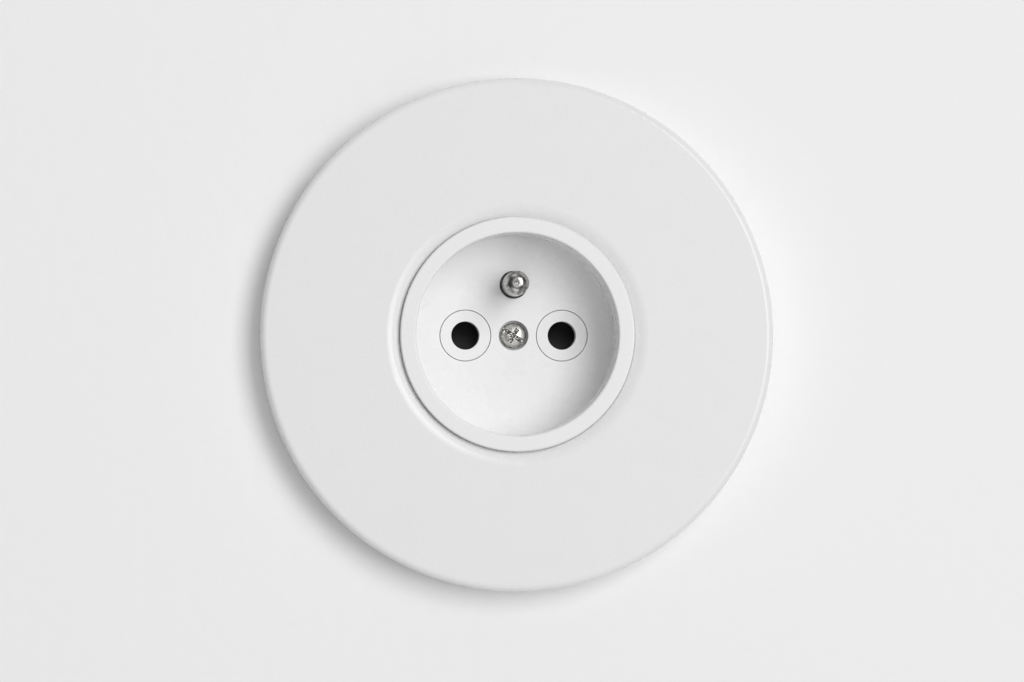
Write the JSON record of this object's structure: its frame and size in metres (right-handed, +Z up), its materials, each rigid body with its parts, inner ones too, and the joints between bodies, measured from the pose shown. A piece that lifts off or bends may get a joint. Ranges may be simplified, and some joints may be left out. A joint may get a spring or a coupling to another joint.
{
  "type": "flush wall socket",
  "caption": "Round flush wall socket with a fixed earth pin, a recessed cup in a large round cover plate, sprung shutters and spreading claws behind.",
  "frame": {"origin": "where the socket's axis meets the wall: centre of the box screw slots, on the back face of the steel frame", "axes": "+Y into the wall, the front faces -Y, +Z up with the earth pin above the pin holes, +X to the right seen from the front"},
  "size_m": [0.1, 0.0399, 0.1],
  "materials": {
    "plate_white": "smooth satin white moulding",
    "insert_white": "smooth satin white moulding",
    "mechanism_white": "fine matt white moulding",
    "shutter_black": "matt black moulding",
    "base_plastic": "matt pale thermoset moulding",
    "plated_screw": "bright nickel plate",
    "nickel_pin": "bright nickel plate on turned brass",
    "contact_brass": "bare rolled brass",
    "zinc_steel": "pressed sheet with blue zinc plate",
    "spring_steel": "drawn spring steel"
  },
  "bodies": {
    "socket": {"cover_plate": "plate_white", "socket_insert": "insert_white", "centre_screw": "plated_screw", "centre_nut": "contact_brass", "mechanism_front": "mechanism_white", "shutter_spring": "spring_steel", "mechanism_base": "base_plastic", "earth_pin": "nickel_pin", "earth_strap": "contact_brass", "left_contact": "contact_brass", "right_contact": "contact_brass", "left_contact_clip": "spring_steel", "right_contact_clip": "spring_steel", "terminal_clamps": "zinc_steel", "terminal_screws": "plated_screw", "housing_screws": "plated_screw", "support_frame": "zinc_steel", "frame_screws": "plated_screw"},
    "shutter": {"shutter": "shutter_black"},
    "left_claw": {"left_claw": "zinc_steel", "left_claw_screw": "plated_screw"},
    "right_claw": {"right_claw": "zinc_steel", "right_claw_screw": "plated_screw"}
  },
  "joints": [
    {"name": "shutter_slide", "type": "slide", "parent": "socket", "child": "shutter", "axis": [0, 0, -1], "range_m": [0, 0.006], "stiffness_N_per_m": 300, "springref_m": -0.004, "deforming": ["shutter_spring"]},
    {"name": "left_claw_swing", "type": "hinge", "parent": "socket", "child": "left_claw", "pos_m": [-0.025, 0.00081, -0.007], "axis": [0, 0, 1], "range_deg": [0, 14]},
    {"name": "right_claw_swing", "type": "hinge", "parent": "socket", "child": "right_claw", "pos_m": [0.025, 0.00081, 0.007], "axis": [0, 0, -1], "range_deg": [0, 14]}
  ]
}
